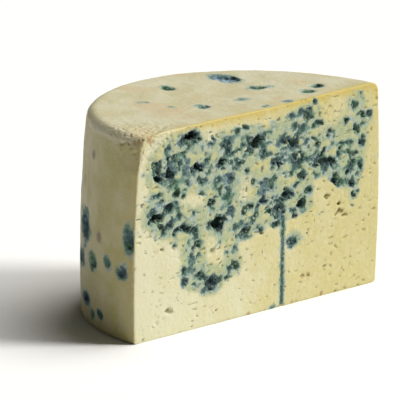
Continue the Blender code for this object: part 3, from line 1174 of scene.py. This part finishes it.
# %% [markdown]
# ## Tufts and crumbs
#
# Mould is a fur of fine threads with powdery heads, and it clings to a hollow's walls in little
# cushions. A crumbly paste also leaves crumbs in the hollows. Both are far too many to place by
# hand, so each is modelled once, as a ball that is pressed, roughened and thinned, and a loop
# sets copies of it on points of the body. The copies are one joined mesh, so they weigh little.

# %% Scatter copies of a small model
def small_model(roughness, faces, seed):
    """A roughened little ball of radius 1: its points and its triangles."""
    bpy.ops.object.select_all(action="DESELECT")
    bpy.ops.mesh.primitive_ico_sphere_add(subdivisions=3, radius=1)
    ball = bpy.context.view_layer.objects.active
    bpy.ops.object.mode_set(mode="EDIT")
    bpy.ops.transform.vertex_random(offset=roughness, normal=0.5, seed=seed)
    bpy.ops.mesh.vertices_smooth(factor=0.5, repeat=1)
    bpy.ops.object.mode_set(mode="OBJECT")
    thin = ball.modifiers.new("thin", "DECIMATE")
    thin.ratio = faces / triangles(ball)
    apply(ball, thin)
    corners = np.array([face.vertices[:] for face in ball.data.polygons])
    model = points_of(ball), corners
    bpy.data.objects.remove(ball)
    return model


def scatter(name, models, hosts, sizes, flatness, chance):
    """One mesh of small copies, each sitting on a host point with its back to the body."""
    points, corners, owners = [], [], []
    count = 0
    for host, size in zip(hosts, sizes):
        shape, faces = models[chance.randrange(len(models))]
        turn = Quaternion((0, 0, 1), chance.uniform(0, math.tau))
        stand = Vector(facing[host]).to_track_quat("Z", "Y") @ turn
        frame_of_copy = np.array(stand.to_matrix())
        stretched = shape * (size, size * chance.uniform(0.7, 1.0), size * flatness)
        points.append(stretched @ frame_of_copy.T + places[host])
        corners.append(faces + count)
        owners += [host] * len(shape)
        count += len(shape)
    mesh = bpy.data.meshes.new(name)
    mesh.from_pydata(np.concatenate(points).tolist(), [], np.concatenate(corners).tolist())
    mesh.update()
    piece = bpy.data.objects.new(name, mesh)
    bpy.context.collection.objects.link(piece)
    moved = points_of(piece)
    moved[:, 1] = np.maximum(moved[:, 1], CUT_Y + CUT_MARGIN)
    move_points(piece, moved)
    pick(piece)
    bpy.ops.object.shade_smooth()
    print(name, "has", len(hosts), "copies and", triangles(piece), "triangles")
    return piece, np.array(owners)


# %% [markdown]
# The tufts sit where the mould is thick, mostly inside the hollows, and take the colour of the
# mould under them. Their size varies from a pin's head down.

# %% Mould tufts
TUFTS = 2600
TUFT_SIZES = (0.28 * MM, 0.75 * MM)
TUFT_FACES = 40
chance = random.Random(5)
facing = normals_of(body)
grown_on = np.flatnonzero((mould > 0.02) & (depth > 0.7 * MM) & (behind < 8 * MM)).tolist()
hosts = chance.sample(grown_on, min(TUFTS, len(grown_on)))
sizes = [chance.uniform(*TUFT_SIZES) * chance.uniform(0.6, 1.0) for _ in hosts]
tuft_models = [small_model(0.25, TUFT_FACES, seed) for seed in range(4)]
tufts, owners = scatter("mould_tufts", tuft_models, hosts, sizes, 0.7, chance)
store(tufts, "mould", np.clip(mould[owners] - 0.1, 0.05, 1))
store(tufts, "hue", hue[owners])
store(tufts, "depth", np.clip(depth[owners] / FULL_DEPTH, 0, 1))

fuzz = Mixer("mould_tuft")
tuft_paste = fuzz.mix(fuzz.noise(2 * MM), HALO, BAND_PASTE)
tuft_surface, _ = mould_colour(fuzz, fuzz.read("mould"), fuzz.read("hue"), tuft_paste)
powder = fuzz.ramp(fuzz.noise(0.7 * MM), 0.45, 0.8, 0.0, 0.55)
tuft_surface = fuzz.mix(powder, tuft_surface, BLOOM)
# Painted shade: tufts deep in a hollow are darkened by their depth.
tuft_surface = fuzz.mix(fuzz.ramp(fuzz.read("depth"), 0.36, 0.9, 0.0, 0.9), tuft_surface, DEEP_MOULD_AND_SHADE)
fuzz.feed(fuzz.shader.inputs["Base Color"], tuft_surface)
fuzz.feed(fuzz.shader.inputs["Normal"], fuzz.bump(fuzz.noise(0.25 * MM, 5.0), 0.12 * MM))
fuzz.shader.inputs["Roughness"].default_value = 1.0
fuzz.shader.inputs["Specular IOR Level"].default_value = 0.1
fuzz.shader.inputs["Sheen Weight"].default_value = 0.35
fuzz.shader.inputs["Sheen Roughness"].default_value = 0.5
tufts.data.materials.append(fuzz.material)

# %% [markdown]
# The crumbs are the paste's own colour. They lie on lips and walls, deep enough not to stand out
# of the cut.

# %% Crumbs of paste
CRUMBS = 150
CRUMB_SIZES = (0.3 * MM, 0.95 * MM)
CRUMB_FACES = 60
lying = (depth > 1.0 * MM) & (depth < 3.2 * MM) & (behind < 6 * MM) & by_cut & (loose > 0.05)
resting = np.flatnonzero(lying & (facing[:, 2] > -0.3)).tolist()
hosts = chance.sample(resting, min(CRUMBS, len(resting)))
sizes = [min(chance.uniform(*CRUMB_SIZES), 0.8 * depth[host]) for host in hosts]
crumb_models = [small_model(0.4, CRUMB_FACES, seed) for seed in range(10, 14)]
crumbs, owners = scatter("paste_crumbs", crumb_models, hosts, sizes, 0.85, chance)

bits = Mixer("paste_crumb")
bit_surface = bits.mix(bits.ramp(bits.noise(1.2 * MM), 0.3, 0.7), BAND_PASTE, HALO)
bit_surface = bits.mix(bits.ramp(bits.noise(0.7 * MM, 3.0), 0.42, 0.6, 0.0, 0.8), bit_surface, GREEN_MOULD)
bits.feed(bits.shader.inputs["Base Color"], bit_surface)
bits.feed(bits.shader.inputs["Normal"], bits.bump(bits.noise(0.4 * MM, 5.0), 0.15 * MM))
bits.shader.inputs["Roughness"].default_value = 0.6
bits.shader.inputs["Subsurface Weight"].default_value = 0.2
bits.shader.inputs["Subsurface Radius"].default_value = (1.0, 0.72, 0.36)
bits.shader.inputs["Subsurface Scale"].default_value = 1.0 * MM
crumbs.data.materials.append(bits.material)

# %% [markdown]
# The three pieces are tied to the frame. Nothing of this cheese moves, so all ride its root, and
# the body takes the place of the plain solid.

# %% Tie the pieces to the frame
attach(body, "root")
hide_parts(NODE)
for piece in (tufts, crumbs):
    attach(piece, "root")
print("pieces tied:", body.name, tufts.name, crumbs.name)

# %% [markdown]
# ## Studio
#
# The cheese stands on a pale floor. A broad light from the front right lights the cut, and a
# softer one from high on the right lights the top. Both are suns, because their light is as
# strong far away as near by, so the floor stays evenly white. The pale world lifts the shadows a
# little.

# %% Floor and light
FLOOR_REACH = 8.0
bpy.ops.object.select_all(action="DESELECT")
bpy.ops.mesh.primitive_circle_add(vertices=96, radius=FLOOR_REACH, fill_type="NGON", location=(0, 0, 0))
floor = bpy.context.view_layer.objects.active
floor.name = "studio_floor"
pale = Mixer("pale_floor")
speckle = pale.mix(pale.noise(0.4, 2.0), colour(248, 248, 246), colour(251, 251, 250))
pale.feed(pale.shader.inputs["Base Color"], speckle)
pale.shader.inputs["Roughness"].default_value = 0.9
pale.shader.inputs["Specular IOR Level"].default_value = 0.0
floor.data.materials.append(pale.material)

world = bpy.data.worlds.new("studio")
bpy.context.scene.world = world
world.use_nodes = True
backdrop = world.node_tree.nodes["Background"]
backdrop.inputs["Color"].default_value = (1.0, 0.97, 0.86, 1.0)
backdrop.inputs["Strength"].default_value = 0.05


def soft_light(name, azimuth, elevation, spread, strength, tint):
    """Even light from one side of the room, softer the wider it spreads."""
    turn, rise = math.radians(azimuth), math.radians(elevation)
    away = Vector((math.sin(turn) * math.cos(rise), -math.cos(turn) * math.cos(rise), math.sin(rise)))
    bpy.ops.object.light_add(type="SUN", location=away)
    light = bpy.context.view_layer.objects.active
    light.name = name
    light.rotation_euler = (-away).to_track_quat("-Z", "Y").to_euler()
    light.data.angle = math.radians(spread)
    light.data.energy = strength
    light.data.color = tint
    return light


WARM_WHITE = (1.0, 0.985, 0.96)
soft_light("key_light", 45, 36, 18, 2.7, WARM_WHITE)
soft_light("top_light", 80, 62, 40, 1.95, WARM_WHITE)
print("floor and two lights set")

# %% [markdown]
# The camera looks down slightly, past the left corner of the cut, from far away with a long lens,
# so the edges stay almost parallel.

# %% Camera
AZIMUTH = math.radians(-46.75)
ELEVATION = math.radians(14.47)
ROLL = math.radians(1.09)
DISTANCE = 3.6
LENS = 640
FAR_ENOUGH = 40
away = Vector(
    (
        math.sin(AZIMUTH) * math.cos(ELEVATION),
        -math.cos(AZIMUTH) * math.cos(ELEVATION),
        math.sin(ELEVATION),
    )
)
aim = Vector((0, -0.004, HEIGHT / 2 - 0.002))
bpy.ops.object.camera_add(location=aim + away * DISTANCE)
camera = bpy.context.view_layer.objects.active
camera.rotation_mode = "QUATERNION"
camera.rotation_quaternion = (-away).to_track_quat("-Z", "Y") @ Quaternion((0, 0, 1), ROLL)
camera.data.lens = LENS
camera.data.clip_end = FAR_ENOUGH
bpy.context.scene.camera = camera
bpy.context.scene.view_settings.view_transform = "Standard"
print("camera set", DISTANCE, "m away")
